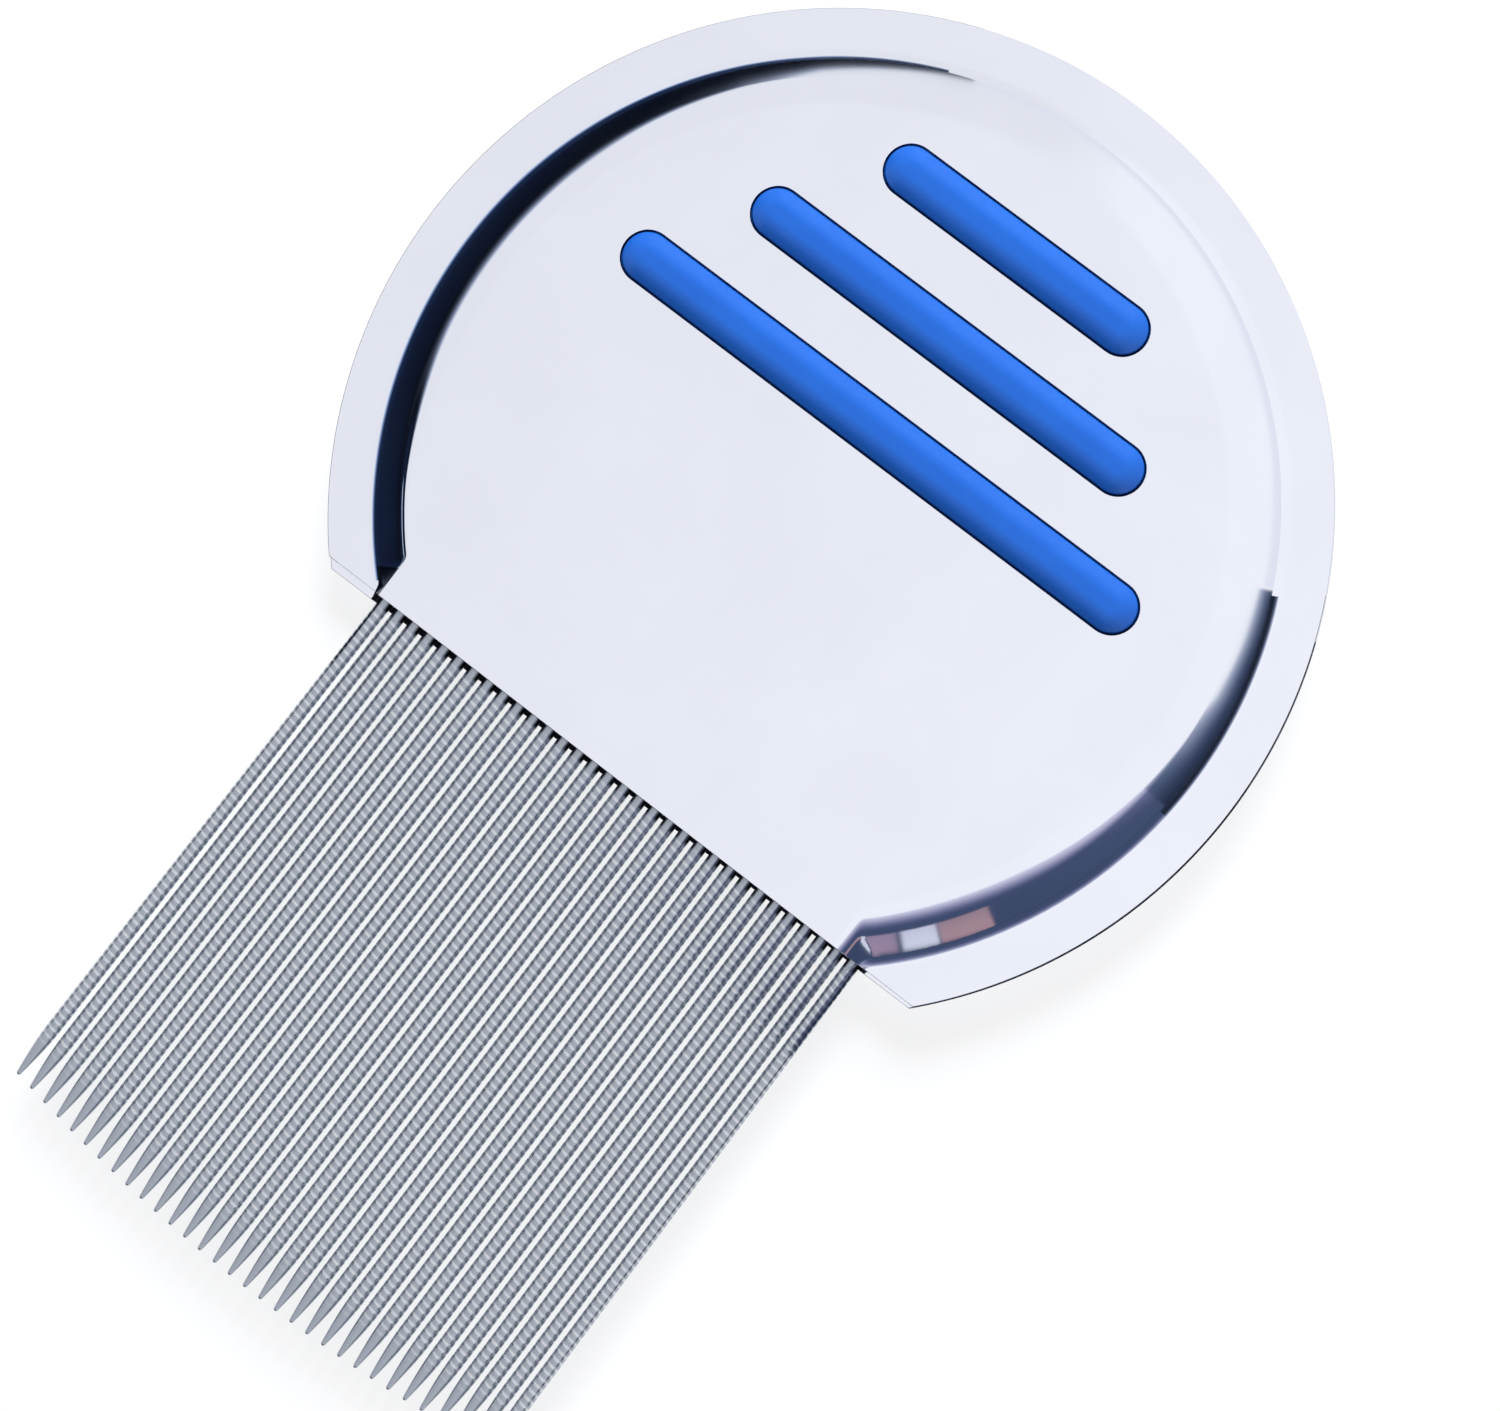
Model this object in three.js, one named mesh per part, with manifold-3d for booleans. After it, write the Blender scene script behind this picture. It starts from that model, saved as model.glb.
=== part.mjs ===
// Flea comb with a round pressed-steel handle, millimetres, +Z up.
// It lies flat: the teeth point along -Y, the handle is at +Y, and the front faces +Z.
// Two pressed shells close on each other face to face. Between them sit a blue moulded grip core,
// whose ribs stand out through slots in both shells, and two grooved strips that clamp the teeth.
import * as THREE from 'three';
import * as BufferGeometryUtils from 'three/addons/utils/BufferGeometryUtils.js';
import Module from 'manifold-3d';

const wasm = await Module();
wasm.setup();

// Handle shells
const handleRadius = 33.5;
const flangeWidth = 3.0;
const stepWidth = 2.7;
const panelHeight = 2.3; // from the joint plane to the outer face of the raised panel
const sheetThickness = 0.5;
const stepEase = 0.35; // share of the step's width over which each of its two bends turns
const mouthSideRoom = 1.6; // from the outermost tooth to the foot of the step beside the mouth
const mouthFlange = 2.8; // flat flange left beside the mouth at each end of the cut edge
const backLipLeft = 0.6; // how far the back shell's cut edge stands past the front one's
const backLipRight = 0.25;

// Teeth
const toothCount = 32;
const toothDiameter = 1.05;
const toothGap = 0.23;
const toothLength = 41.7; // outside the handle, at the middle of the row
const endToothSetback = 1.65; // how much shorter the two outermost teeth are
const toothSplay = 0.45; // how much further out the outermost tips stand than their roots
const tipLength = 4.2;
const tipRadius = 0.16;
const shankLength = 9.0;

// Clamping strips
const mouthRecess = 1.0; // from the front shell's cut edge to the strips
const grooveDepth = 0.15;
const grooveClearance = 0.03;
const stripEndRoom = 0.2; // strip beyond the outermost tooth
const stripClearance = 0.05;

// Grip core and its ribs, from the teeth upwards
const ribPitch = 7.48;
const ribWidth = 3.4;
const ribTopMargin = 5.1; // from the panel's edge to the side of the last rib
const ribEndMargins = [5.8, 6.9, 4.3]; // from the panel's edge to the end of each rib
const ribProud = 0.5; // above the panel
const ribRounding = 0.45;
const slotClearance = 0.05;
const coreClearance = 0.05;
const coreToStrips = 0.3;

// Facets
const handleSegments = 72;
const stepSegments = 6;
const toothSides = 12;
const tipSegments = 3;
const ribEndSegments = 8;
const ribRoundingSegments = 2;

const cutterMargin = 1.0; // how far a cutting shape runs past what it cuts

// What follows from the sizes above
const toothPitch = toothDiameter + toothGap;
const rowHalfWidth = (toothCount * toothPitch - toothGap) / 2;
const stepFootRadius = handleRadius - flangeWidth;
const panelRadius = stepFootRadius - stepWidth;
const mouthFootHalf = rowHalfWidth + mouthSideRoom;
const mouthPanelHalf = mouthFootHalf - stepWidth;
const cutHalfWidth = mouthFootHalf + mouthFlange;
const cutY = -Math.sqrt(handleRadius ** 2 - cutHalfWidth ** 2);
const ribCrest = panelHeight + ribProud;
const innerPanelHeight = panelHeight - sheetThickness;
const stripTopY = cutY + shankLength;
const coreBottomY = stripTopY + coreToStrips;
const lastRibY = panelRadius - ribTopMargin - ribWidth / 2;
const tipY = cutY - toothLength;

const materials = {
  steel: { color: 0xd9dde8, roughness: 0.12, metalness: 1.0 },
  teeth: { color: 0xc4c8cf, roughness: 0.22, metalness: 1.0 },
  grip: { color: 0x3c7de6, roughness: 0.35, metalness: 0.0 },
  strip: { color: 0x1c1f2a, roughness: 0.6, metalness: 0.0 },
};

function toSolid(geometry) {
  const bare = geometry.clone();
  bare.deleteAttribute('normal');
  bare.deleteAttribute('uv');
  const merged = BufferGeometryUtils.mergeVertices(bare, 1e-5);
  const vertProperties = new Float32Array(merged.attributes.position.array);
  const triVerts = new Uint32Array(merged.index.array);
  return new wasm.Manifold(new wasm.Mesh({ numProp: 3, vertProperties, triVerts }));
}

function toGeometry(solid) {
  const mesh = solid.getMesh();
  const geometry = new THREE.BufferGeometry();
  geometry.setAttribute('position', new THREE.BufferAttribute(mesh.vertProperties, 3));
  geometry.setIndex(new THREE.BufferAttribute(mesh.triVerts, 1));
  geometry.computeVertexNormals();
  return geometry;
}

// The S-shaped step from the panel's edge down to the flange. The radius grows from edgeRadius, and
// inset is the depth below the outer skin, the same across the flats and halfway down the slope.
function stepCurve(edgeRadius, inset) {
  const rise = panelHeight - sheetThickness;
  const slope = Math.atan2(rise, stepWidth * (1 - stepEase));
  const edge = edgeRadius - inset * Math.tan(slope / 2);
  const foot = edge + stepWidth;
  const ease = stepWidth * stepEase;
  const top = panelHeight - inset;
  return new THREE.CubicBezierCurve(
    new THREE.Vector2(edge, top),
    new THREE.Vector2(edge + ease, top),
    new THREE.Vector2(foot - ease, top - rise),
    new THREE.Vector2(foot, top - rise),
  ).getPoints(stepSegments);
}

// Raised round dome, from bottomZ up to the skin at the given inset.
function makeDome(inset, bottomZ) {
  const slope = stepCurve(panelRadius, inset);
  const foot = slope[slope.length - 1];
  const profile = [
    new THREE.Vector2(0, bottomZ),
    new THREE.Vector2(foot.x, bottomZ),
    ...slope.reverse(),
    new THREE.Vector2(0, panelHeight - inset),
  ];
  const geometry = new THREE.LatheGeometry(profile, handleSegments);
  geometry.rotateX(Math.PI / 2);
  return toSolid(geometry);
}

// Straight-sided mouth over the tooth row, the same height and step as the dome.
function makeMouth(inset, bottomZ) {
  const slope = stepCurve(mouthPanelHalf, inset);
  const foot = slope[slope.length - 1];
  const outline = new THREE.Shape();
  outline.moveTo(-foot.x, bottomZ);
  outline.lineTo(foot.x, bottomZ);
  for (const point of [...slope].reverse()) {
    outline.lineTo(point.x, point.y);
  }
  for (const point of slope) {
    outline.lineTo(-point.x, point.y);
  }
  const length = -cutY + cutterMargin;
  const geometry = new THREE.ExtrudeGeometry(outline, { depth: length, bevelEnabled: false });
  geometry.rotateX(Math.PI / 2);
  return toSolid(geometry);
}

function makeFlange() {
  const geometry = new THREE.CylinderGeometry(handleRadius, handleRadius, sheetThickness, handleSegments);
  geometry.rotateX(Math.PI / 2);
  geometry.translate(0, 0, sheetThickness / 2);
  return toSolid(geometry);
}

// Everything below a straight cut that runs from leftY to rightY at the mouth's two corners.
function makeCutter(leftY, rightY) {
  const size = 4 * handleRadius;
  const geometry = new THREE.BoxGeometry(size, size, size);
  geometry.translate(0, -size / 2, 0);
  geometry.rotateZ(Math.atan2(rightY - leftY, 2 * cutHalfWidth));
  geometry.translate(0, (leftY + rightY) / 2, 0);
  return toSolid(geometry);
}

function ribCentreY(index) {
  return lastRibY - (ribEndMargins.length - 1 - index) * ribPitch;
}

function ribHalfLength(index) {
  const endRadius = panelRadius - ribEndMargins[index];
  return Math.sqrt(endRadius ** 2 - ribCentreY(index) ** 2);
}

// Long shape with round ends, of the given half height, grown by clearance all round.
function makeRib(index, clearance, halfHeight, rounding) {
  const radius = ribWidth / 2 + clearance - rounding;
  const centre = ribHalfLength(index) - ribWidth / 2;
  const outline = new THREE.Shape();
  outline.absarc(centre, 0, radius, -Math.PI / 2, Math.PI / 2, false);
  outline.absarc(-centre, 0, radius, Math.PI / 2, (3 * Math.PI) / 2, false);
  const geometry = new THREE.ExtrudeGeometry(outline, {
    depth: 2 * (halfHeight - rounding),
    curveSegments: ribEndSegments,
    bevelEnabled: rounding > 0,
    bevelSize: rounding,
    bevelThickness: rounding,
    bevelSegments: ribRoundingSegments,
  });
  geometry.translate(0, ribCentreY(index), -(halfHeight - rounding));
  return toSolid(geometry);
}

function makeShell(leftY, rightY) {
  let shell = makeFlange().add(makeDome(0, 0)).add(makeMouth(0, 0));
  shell = shell.subtract(makeDome(sheetThickness, -cutterMargin));
  shell = shell.subtract(makeMouth(sheetThickness, -cutterMargin));
  for (let index = 0; index < ribEndMargins.length; index++) {
    shell = shell.subtract(makeRib(index, slotClearance, ribCrest, 0));
  }
  return shell.subtract(makeCutter(leftY, rightY));
}

function makeFrontShell() {
  return toGeometry(makeShell(cutY, cutY));
}

// The same pressing turned over about Y, which swaps its left and right ends.
function makeBackShell() {
  const geometry = toGeometry(makeShell(cutY - backLipRight, cutY - backLipLeft));
  geometry.rotateY(Math.PI);
  return geometry;
}

// Round plate with a straight lower edge that fills the space between the two panels.
function makeGripCore() {
  const radius = panelRadius - sheetThickness - coreClearance;
  const halfThickness = innerPanelHeight - coreClearance;
  const startAngle = Math.asin(coreBottomY / radius);
  const outline = new THREE.Shape();
  outline.absarc(0, 0, radius, startAngle, Math.PI - startAngle, false);
  const plate = new THREE.ExtrudeGeometry(outline, {
    depth: 2 * halfThickness,
    curveSegments: handleSegments / 2,
    bevelEnabled: false,
  });
  plate.translate(0, 0, -halfThickness);
  let core = toSolid(plate);
  for (let index = 0; index < ribEndMargins.length; index++) {
    core = core.add(makeRib(index, 0, ribCrest, ribRounding));
  }
  return toGeometry(core);
}

function toothX(index) {
  return (index - (toothCount - 1) / 2) * toothPitch;
}

// The teeth fan out slightly, in proportion to their distance from the middle.
function toothTurn(x) {
  return Math.asin((toothSplay / toothLength) * (x / toothX(toothCount - 1)));
}

// What one tooth's shank takes up in the strips, clearance included.
function makeGroove(index) {
  const radius = toothDiameter / 2 + grooveClearance;
  const length = shankLength + cutterMargin;
  const firstSide = Math.PI / toothSides;
  const geometry = new THREE.CylinderGeometry(radius, radius, length, toothSides, 1, false, firstSide);
  geometry.translate(0, length / 2, 0);
  geometry.rotateZ(toothTurn(toothX(index)));
  geometry.translate(toothX(index), cutY, 0);
  return toSolid(geometry);
}

// Strip shaped to the inside of the mouth, with one round groove for each tooth in its inner face.
function makeStrip() {
  const innerZ = toothDiameter / 2 - grooveDepth;
  const length = shankLength - mouthRecess;
  const geometry = new THREE.BoxGeometry(2 * (rowHalfWidth + stripEndRoom), length, panelHeight - innerZ);
  geometry.translate(0, stripTopY - length / 2, (panelHeight + innerZ) / 2);
  let strip = toSolid(geometry).intersect(makeMouth(sheetThickness + stripClearance, -cutterMargin));
  for (let index = 0; index < toothCount; index++) {
    strip = strip.subtract(makeGroove(index));
  }
  return toGeometry(strip);
}

function makeBackStrip() {
  const geometry = makeStrip();
  geometry.rotateY(Math.PI);
  return geometry;
}

// Round pin along Y: y = 0 is at the cut edge, the shank is above it and the tip below.
function makeTooth(length) {
  const radius = toothDiameter / 2;
  const profile = [new THREE.Vector2(0, -length)];
  for (let step = 0; step <= tipSegments; step++) {
    const share = step / tipSegments;
    const width = tipRadius + (radius - tipRadius) * Math.sin((share * Math.PI) / 2);
    profile.push(new THREE.Vector2(width, -length + tipRadius / 2 + (tipLength - tipRadius / 2) * share));
  }
  profile.push(new THREE.Vector2(radius, shankLength));
  profile.push(new THREE.Vector2(0, shankLength));
  return new THREE.LatheGeometry(profile, toothSides, Math.PI / toothSides);
}

// The tips lie on a shallow arch, so a tooth is shorter the further it is from the middle.
function toothReach(x) {
  return toothLength - endToothSetback * (x / toothX(toothCount - 1)) ** 2;
}

function addPiece(parent, name, geometry, look) {
  const mesh = new THREE.Mesh(geometry, new THREE.MeshStandardMaterial(look));
  mesh.name = name;
  parent.add(mesh);
  return mesh;
}

function addTeeth(parent) {
  for (let index = 0; index < toothCount; index++) {
    const x = toothX(index);
    const name = `tooth_${String(index + 1).padStart(2, '0')}`;
    const tooth = addPiece(parent, name, makeTooth(toothReach(x)), materials.teeth);
    tooth.position.set(x, cutY, 0);
    tooth.rotation.z = toothTurn(x);
  }
}

// The comb is drawn about the centre of its round handle, on the joint plane of the two shells.
function makeComb() {
  const comb = new THREE.Group();
  addPiece(comb, 'front_shell', makeFrontShell(), materials.steel);
  addPiece(comb, 'back_shell', makeBackShell(), materials.steel);
  addPiece(comb, 'grip_core', makeGripCore(), materials.grip);
  addPiece(comb, 'front_clamp_strip', makeStrip(), materials.strip);
  addPiece(comb, 'back_clamp_strip', makeBackStrip(), materials.strip);
  addTeeth(comb);
  return comb;
}

// The origin is under the middle of the whole comb, on the surface that its back ribs lie on.
const fleaComb = new THREE.Group();
const comb = makeComb();
comb.position.set(0, -(handleRadius + tipY) / 2, ribCrest);
fleaComb.add(comb);

export default fleaComb;
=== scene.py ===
# Flea comb: two pressed stainless shells, a blue grip core between them and a row of grooved steel teeth.
# Lengths in the dictionaries are millimetres; a piece is drawn about the middle of the round handle, with
# z = 0 on the plane where the two shells meet, and is then moved to its place in the frame.
import math

import bmesh
import bpy
from mathutils import Matrix, Vector


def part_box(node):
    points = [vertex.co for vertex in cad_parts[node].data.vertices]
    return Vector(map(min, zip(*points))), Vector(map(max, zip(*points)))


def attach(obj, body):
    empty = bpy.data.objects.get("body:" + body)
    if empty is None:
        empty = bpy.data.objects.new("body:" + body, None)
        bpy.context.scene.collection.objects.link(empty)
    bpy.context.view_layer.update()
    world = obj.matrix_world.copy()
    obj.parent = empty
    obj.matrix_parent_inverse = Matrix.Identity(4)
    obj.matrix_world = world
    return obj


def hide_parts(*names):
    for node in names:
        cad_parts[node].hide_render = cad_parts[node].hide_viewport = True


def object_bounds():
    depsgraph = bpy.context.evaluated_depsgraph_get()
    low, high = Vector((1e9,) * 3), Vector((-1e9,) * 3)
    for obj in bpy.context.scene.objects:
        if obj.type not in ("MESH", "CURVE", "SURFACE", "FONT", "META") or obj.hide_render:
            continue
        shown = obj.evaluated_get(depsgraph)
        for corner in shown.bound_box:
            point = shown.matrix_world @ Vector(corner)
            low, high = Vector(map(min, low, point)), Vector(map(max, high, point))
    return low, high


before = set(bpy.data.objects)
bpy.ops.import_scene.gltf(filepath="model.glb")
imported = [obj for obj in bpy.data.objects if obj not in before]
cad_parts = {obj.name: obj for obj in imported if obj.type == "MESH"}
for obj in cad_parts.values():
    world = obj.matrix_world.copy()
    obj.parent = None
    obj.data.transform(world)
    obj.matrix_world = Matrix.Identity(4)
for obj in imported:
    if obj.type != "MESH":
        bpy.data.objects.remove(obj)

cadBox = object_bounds()
mm = 0.001

frontLow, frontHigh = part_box("front_shell")
coreLow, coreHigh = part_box("grip_core")
middleToothLow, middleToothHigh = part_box("tooth_16")

rimRadius = (frontHigh.x - frontLow.x) / 2 / mm
middle = Vector(((frontHigh.x + frontLow.x) / 2, frontHigh.y - rimRadius * mm, frontLow.z))
panelHeight = (frontHigh.z - middle.z) / mm
ribCrest = (coreHigh.z - middle.z) / mm
cutY = (frontLow.y - middle.y) / mm
coreEndY = (coreLow.y - middle.y) / mm
shankEndY = (middleToothHigh.y - middle.y) / mm
tipY = (middleToothLow.y - middle.y) / mm
print("frame: rim radius", round(rimRadius, 3), "panel", round(panelHeight, 3), "cut at", round(cutY, 3))


def toLinear(hexColour):
    # an sRGB hex value as linear red, green and blue, with full alpha
    channels = [int(hexColour[i:i + 2], 16) / 255 for i in (1, 3, 5)]
    return tuple(c / 12.92 if c <= 0.04045 else ((c + 0.055) / 1.055) ** 2.4 for c in channels) + (1.0,)


def between(a, b, share):
    return a + (b - a) * share


def polar(radius, angle):
    return (radius * math.cos(angle), radius * math.sin(angle))


def addNode(tree, kind, inputs=None, **settings):
    # an input is either a value or another node's output, which is then linked
    node = tree.nodes.new(kind)
    for name, value in settings.items():
        setattr(node, name, value)
    for name, value in (inputs or {}).items():
        if isinstance(value, bpy.types.NodeSocket):
            tree.links.new(value, node.inputs[name])
        else:
            node.inputs[name].default_value = value
    return node


# A Mix node's colour sockets go by number, because its numbers and vectors have the same names.
firstColour, secondColour, mixedColour = 6, 7, 2


def newMaterial(name):
    material = bpy.data.materials.new(name)
    material.use_nodes = True
    tree = material.node_tree
    tree.nodes.clear()
    return material, tree


def perMetre(size):
    # the scale that makes a pattern's features this many millimetres
    return 1 / (size * mm)


def finishMaterial(material, tree, surface):
    addNode(tree, "ShaderNodeOutputMaterial", {"Surface": surface})
    return material


def placePiece(name, bm, materials, node):
    # the drawing is in millimetres about the handle's middle; the piece is in metres in the frame
    bmesh.ops.recalc_face_normals(bm, faces=bm.faces)
    for vertex in bm.verts:
        vertex.co = middle + vertex.co * mm
    for face in bm.faces:
        face.smooth = True
    mesh = bpy.data.meshes.new(name)
    bm.to_mesh(mesh)
    bm.free()
    for material in materials:
        mesh.materials.append(material)
    piece = bpy.data.objects.new(name, mesh)
    bpy.context.scene.collection.objects.link(piece)
    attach(piece, "root")
    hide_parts(node)
    return piece


def addRow(bm, points, height):
    return [bm.verts.new((x, y, height)) for x, y in points]


def joinRows(bm, lower, upper, closed=False, materialIndex=0, paintedShade=0):
    # the last argument is how many faces at the row's end take the second material, the dark sheared-edge
    # steel, as painted shade
    count = len(lower) if closed else len(lower) - 1
    for i in range(count):
        j = (i + 1) % len(lower)
        face = bm.faces.new((lower[i], lower[j], upper[j], upper[i]))
        face.material_index = 1 if i >= count - paintedShade else materialIndex


def fillFlat(bm, rows, materialIndex=0):
    # a flat face inside the first row with the other rows as its holes
    edges = []
    for row in rows:
        for a, b in zip(row, row[1:] + row[:1]):
            edges.append(bm.edges.get((a, b)) or bm.edges.new((a, b)))
    filled = bmesh.ops.triangle_fill(bm, edges=edges, use_beauty=True)
    for item in filled["geom"]:
        if isinstance(item, bmesh.types.BMFace):
            item.material_index = materialIndex


def roundEdges(piece, radius, segments, angle):
    bevel = piece.modifiers.new("roundedEdges", "BEVEL")
    bevel.width = radius * mm
    bevel.segments = segments
    bevel.limit_method = "ANGLE"
    bevel.angle_limit = math.radians(angle)
    bevel.harden_normals = True
    bevel.miter_outer = "MITER_ARC"


# Stainless steel sheet (18/8), pressed and then mirror polished on a buff: a clean cool mirror with a faint
# haze, buffing marks too fine to count and the slow waviness that a press leaves in thin sheet.
sheetSteel = {
    "colour": "#F0F3FD",
    "stain": "#E9ECF8",        # the slight colour drift left by the buff
    "roughness": (0.07, 0.12),
    "hazeRange": (0.3, 0.7),   # the part of the noise that carries the change in roughness
    "hazeSize": 7.0,
    "waveSize": 16.0,
    "waveHeight": 0.012,
    "buffSize": 0.35,          # real buffing marks are about 0.02 mm; drawn this coarse so that they show
    "buffStretch": 9.0,        # how many times longer than wide
    "buffTurn": 0.6,           # radians, the way the wheel ran across the sheet
    "buffHeight": 0.00008,
}


def makeSheetSteel():
    material, tree = newMaterial("polishedStainlessSheet")
    place = addNode(tree, "ShaderNodeTexCoord").outputs["Object"]
    haze = addNode(tree, "ShaderNodeTexNoise", {
        "Vector": place, "Scale": perMetre(sheetSteel["hazeSize"]), "Detail": 3.0})
    wave = addNode(tree, "ShaderNodeTexNoise", {
        "Vector": place, "Scale": perMetre(sheetSteel["waveSize"]), "Detail": 0.0})
    swirl = addNode(tree, "ShaderNodeMapping", {
        "Vector": place, "Rotation": (0.0, 0.0, sheetSteel["buffTurn"]),
        "Scale": (1.0, sheetSteel["buffStretch"], 1.0)})
    buff = addNode(tree, "ShaderNodeTexNoise", {
        "Vector": swirl.outputs["Vector"], "Detail": 2.0,
        "Scale": perMetre(sheetSteel["buffStretch"] * sheetSteel["buffSize"])})
    colour = addNode(tree, "ShaderNodeMix", {
        "Factor": haze.outputs["Fac"], firstColour: toLinear(sheetSteel["colour"]),
        secondColour: toLinear(sheetSteel["stain"])}, data_type="RGBA")
    low, high = sheetSteel["roughness"]
    fromLow, fromHigh = sheetSteel["hazeRange"]
    roughness = addNode(tree, "ShaderNodeMapRange", {
        "Value": haze.outputs["Fac"], "From Min": fromLow, "From Max": fromHigh,
        "To Min": low, "To Max": high})
    waves = addNode(tree, "ShaderNodeBump", {
        "Height": wave.outputs["Fac"], "Distance": sheetSteel["waveHeight"] * mm, "Strength": 1.0})
    marks = addNode(tree, "ShaderNodeBump", {
        "Height": buff.outputs["Fac"], "Distance": sheetSteel["buffHeight"] * mm, "Strength": 1.0,
        "Normal": waves.outputs["Normal"]})
    shader = addNode(tree, "ShaderNodeBsdfPrincipled", {
        "Base Color": colour.outputs[mixedColour], "Metallic": 1.0, "Roughness": roughness.outputs["Result"],
        "Normal": marks.outputs["Normal"]})
    return finishMaterial(material, tree, shader.outputs["BSDF"])


# Where it isn't mirror bright, the same sheet has one of three finishes; the cut faces and the inside are
# drawn darker than such steel is, as painted shade. Marks stretched the way that the tool ran give each one
# its fine relief, and they or a larger blotch noise mix its two colours.
otherSteels = {
    # Where it was sheared and punched, the cut leaves a duller, greyer face with fine upright tears; its
    # colour is drawn darker than that, as painted shade along the cut edges, the slot walls and the mouth.
    "shearedStainlessEdge": {
        "colour": "#363C4E", "second": "#1A1E2A", "roughness": 0.34,
        "markSize": 0.12, "markStretch": (1.0, 1.0, 0.15), "markHeight": 0.004, "markDetail": 2.0},
    # The rim was trimmed and the buff went over its edge too: brighter than a raw cut, but streaked.
    "buffedStainlessRim": {
        "colour": "#B9BECA", "second": "#8E93A0", "roughness": 0.2,
        "markSize": 0.3, "markStretch": (0.3, 0.3, 3.0), "markHeight": 0.002, "markDetail": 2.0},
    # The inside never met the buff: dull rolled sheet, drawn dark in random blotches as painted shade inside
    # the mouth.
    "insideStainlessPaintedShade": {
        "colour": "#3A3F4C", "second": "#1C2029", "roughness": 0.5, "blotchSize": 1.5,
        "markSize": 0.2, "markStretch": (1.0, 0.08, 1.0), "markHeight": 0.002, "markDetail": 1.0},
}


def makeOtherSteel(name):
    steel = otherSteels[name]
    material, tree = newMaterial(name)
    place = addNode(tree, "ShaderNodeTexCoord").outputs["Object"]
    stretched = addNode(tree, "ShaderNodeMapping", {"Vector": place, "Scale": steel["markStretch"]})
    marks = addNode(tree, "ShaderNodeTexNoise", {
        "Vector": stretched.outputs["Vector"], "Scale": perMetre(steel["markSize"]),
        "Detail": steel["markDetail"]})
    tint = marks
    if "blotchSize" in steel:
        tint = addNode(tree, "ShaderNodeTexNoise", {
            "Vector": place, "Scale": perMetre(steel["blotchSize"]), "Detail": 3.0})
    colour = addNode(tree, "ShaderNodeMix", {
        "Factor": tint.outputs["Fac"], firstColour: toLinear(steel["colour"]),
        secondColour: toLinear(steel["second"])}, data_type="RGBA")
    bump = addNode(tree, "ShaderNodeBump", {
        "Height": marks.outputs["Fac"], "Distance": steel["markHeight"] * mm, "Strength": 1.0})
    shader = addNode(tree, "ShaderNodeBsdfPrincipled", {
        "Base Color": colour.outputs[mixedColour], "Metallic": 1.0, "Roughness": steel["roughness"],
        "Normal": bump.outputs["Normal"]})
    return finishMaterial(material, tree, shader.outputs["BSDF"])


# Drawn stainless wire, then cut with a fine spiral groove: grey lands with faint draw lines along the wire,
# and the groove drawn in a brighter colour as a painted glint, in short marks across each tooth.
wireSteel = {
    "land": "#A5ACB8",
    # brighter than the lands: a painted glint in the real groove
    "groove": "#E2E5EC",
    "paintedRootShade": "#101218",        # painted shade, near black, at the teeth's roots by the mouth, drawn up their sides
    "roughness": (0.24, 0.32),   # land, groove
    "lineWidth": 0.06,           # across the wire
    "lineLength": 3.0,
    "lineHeight": 0.0012,
}


def makeWireSteel():
    material, tree = newMaterial("drawnStainlessWire")
    place = addNode(tree, "ShaderNodeTexCoord").outputs["Object"]
    stretch = wireSteel["lineWidth"] / wireSteel["lineLength"]
    along = addNode(tree, "ShaderNodeMapping", {"Vector": place, "Scale": (1.0, stretch, 1.0)})
    lines = addNode(tree, "ShaderNodeTexNoise", {
        "Vector": along.outputs["Vector"], "Scale": perMetre(wireSteel["lineWidth"]), "Detail": 1.0})
    depth = addNode(tree, "ShaderNodeAttribute", attribute_name="grooveDepth")
    # the groove's depth lightens the colour, as a painted glint
    colour = addNode(tree, "ShaderNodeMix", {
        "Factor": depth.outputs["Fac"], firstColour: toLinear(wireSteel["land"]),
        secondColour: toLinear(wireSteel["groove"])}, data_type="RGBA")
    # the near-black painted shade at the teeth's roots
    paintedRootShade = addNode(tree, "ShaderNodeAttribute", attribute_name="paintedRootShade")
    rootShaded = addNode(tree, "ShaderNodeMix", {
        "Factor": paintedRootShade.outputs["Fac"], firstColour: colour.outputs[mixedColour],
        secondColour: toLinear(wireSteel["paintedRootShade"])}, data_type="RGBA")
    low, high = wireSteel["roughness"]
    roughness = addNode(tree, "ShaderNodeMapRange", {
        "Value": depth.outputs["Fac"], "To Min": low, "To Max": high})
    bump = addNode(tree, "ShaderNodeBump", {
        "Height": lines.outputs["Fac"], "Distance": wireSteel["lineHeight"] * mm, "Strength": 1.0})
    shader = addNode(tree, "ShaderNodeBsdfPrincipled", {
        "Base Color": rootShaded.outputs[mixedColour], "Metallic": 1.0, "Roughness": roughness.outputs["Result"],
        "Normal": bump.outputs["Normal"]})
    return finishMaterial(material, tree, shader.outputs["BSDF"])


# Moulded ABS, coloured through and satin from the tool: an even blue with soft highlights, a fine
# spark-eroded grain and slightly deeper colour where the melt flowed.
blueAbs = {
    "colour": "#1471E6",
    "flow": "#1066DA",
    "roughness": (0.30, 0.40),
    "ior": 1.54,
    "flowSize": 5.0,
    "grainSize": 0.16,
    "grainHeight": 0.004,
}


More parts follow.
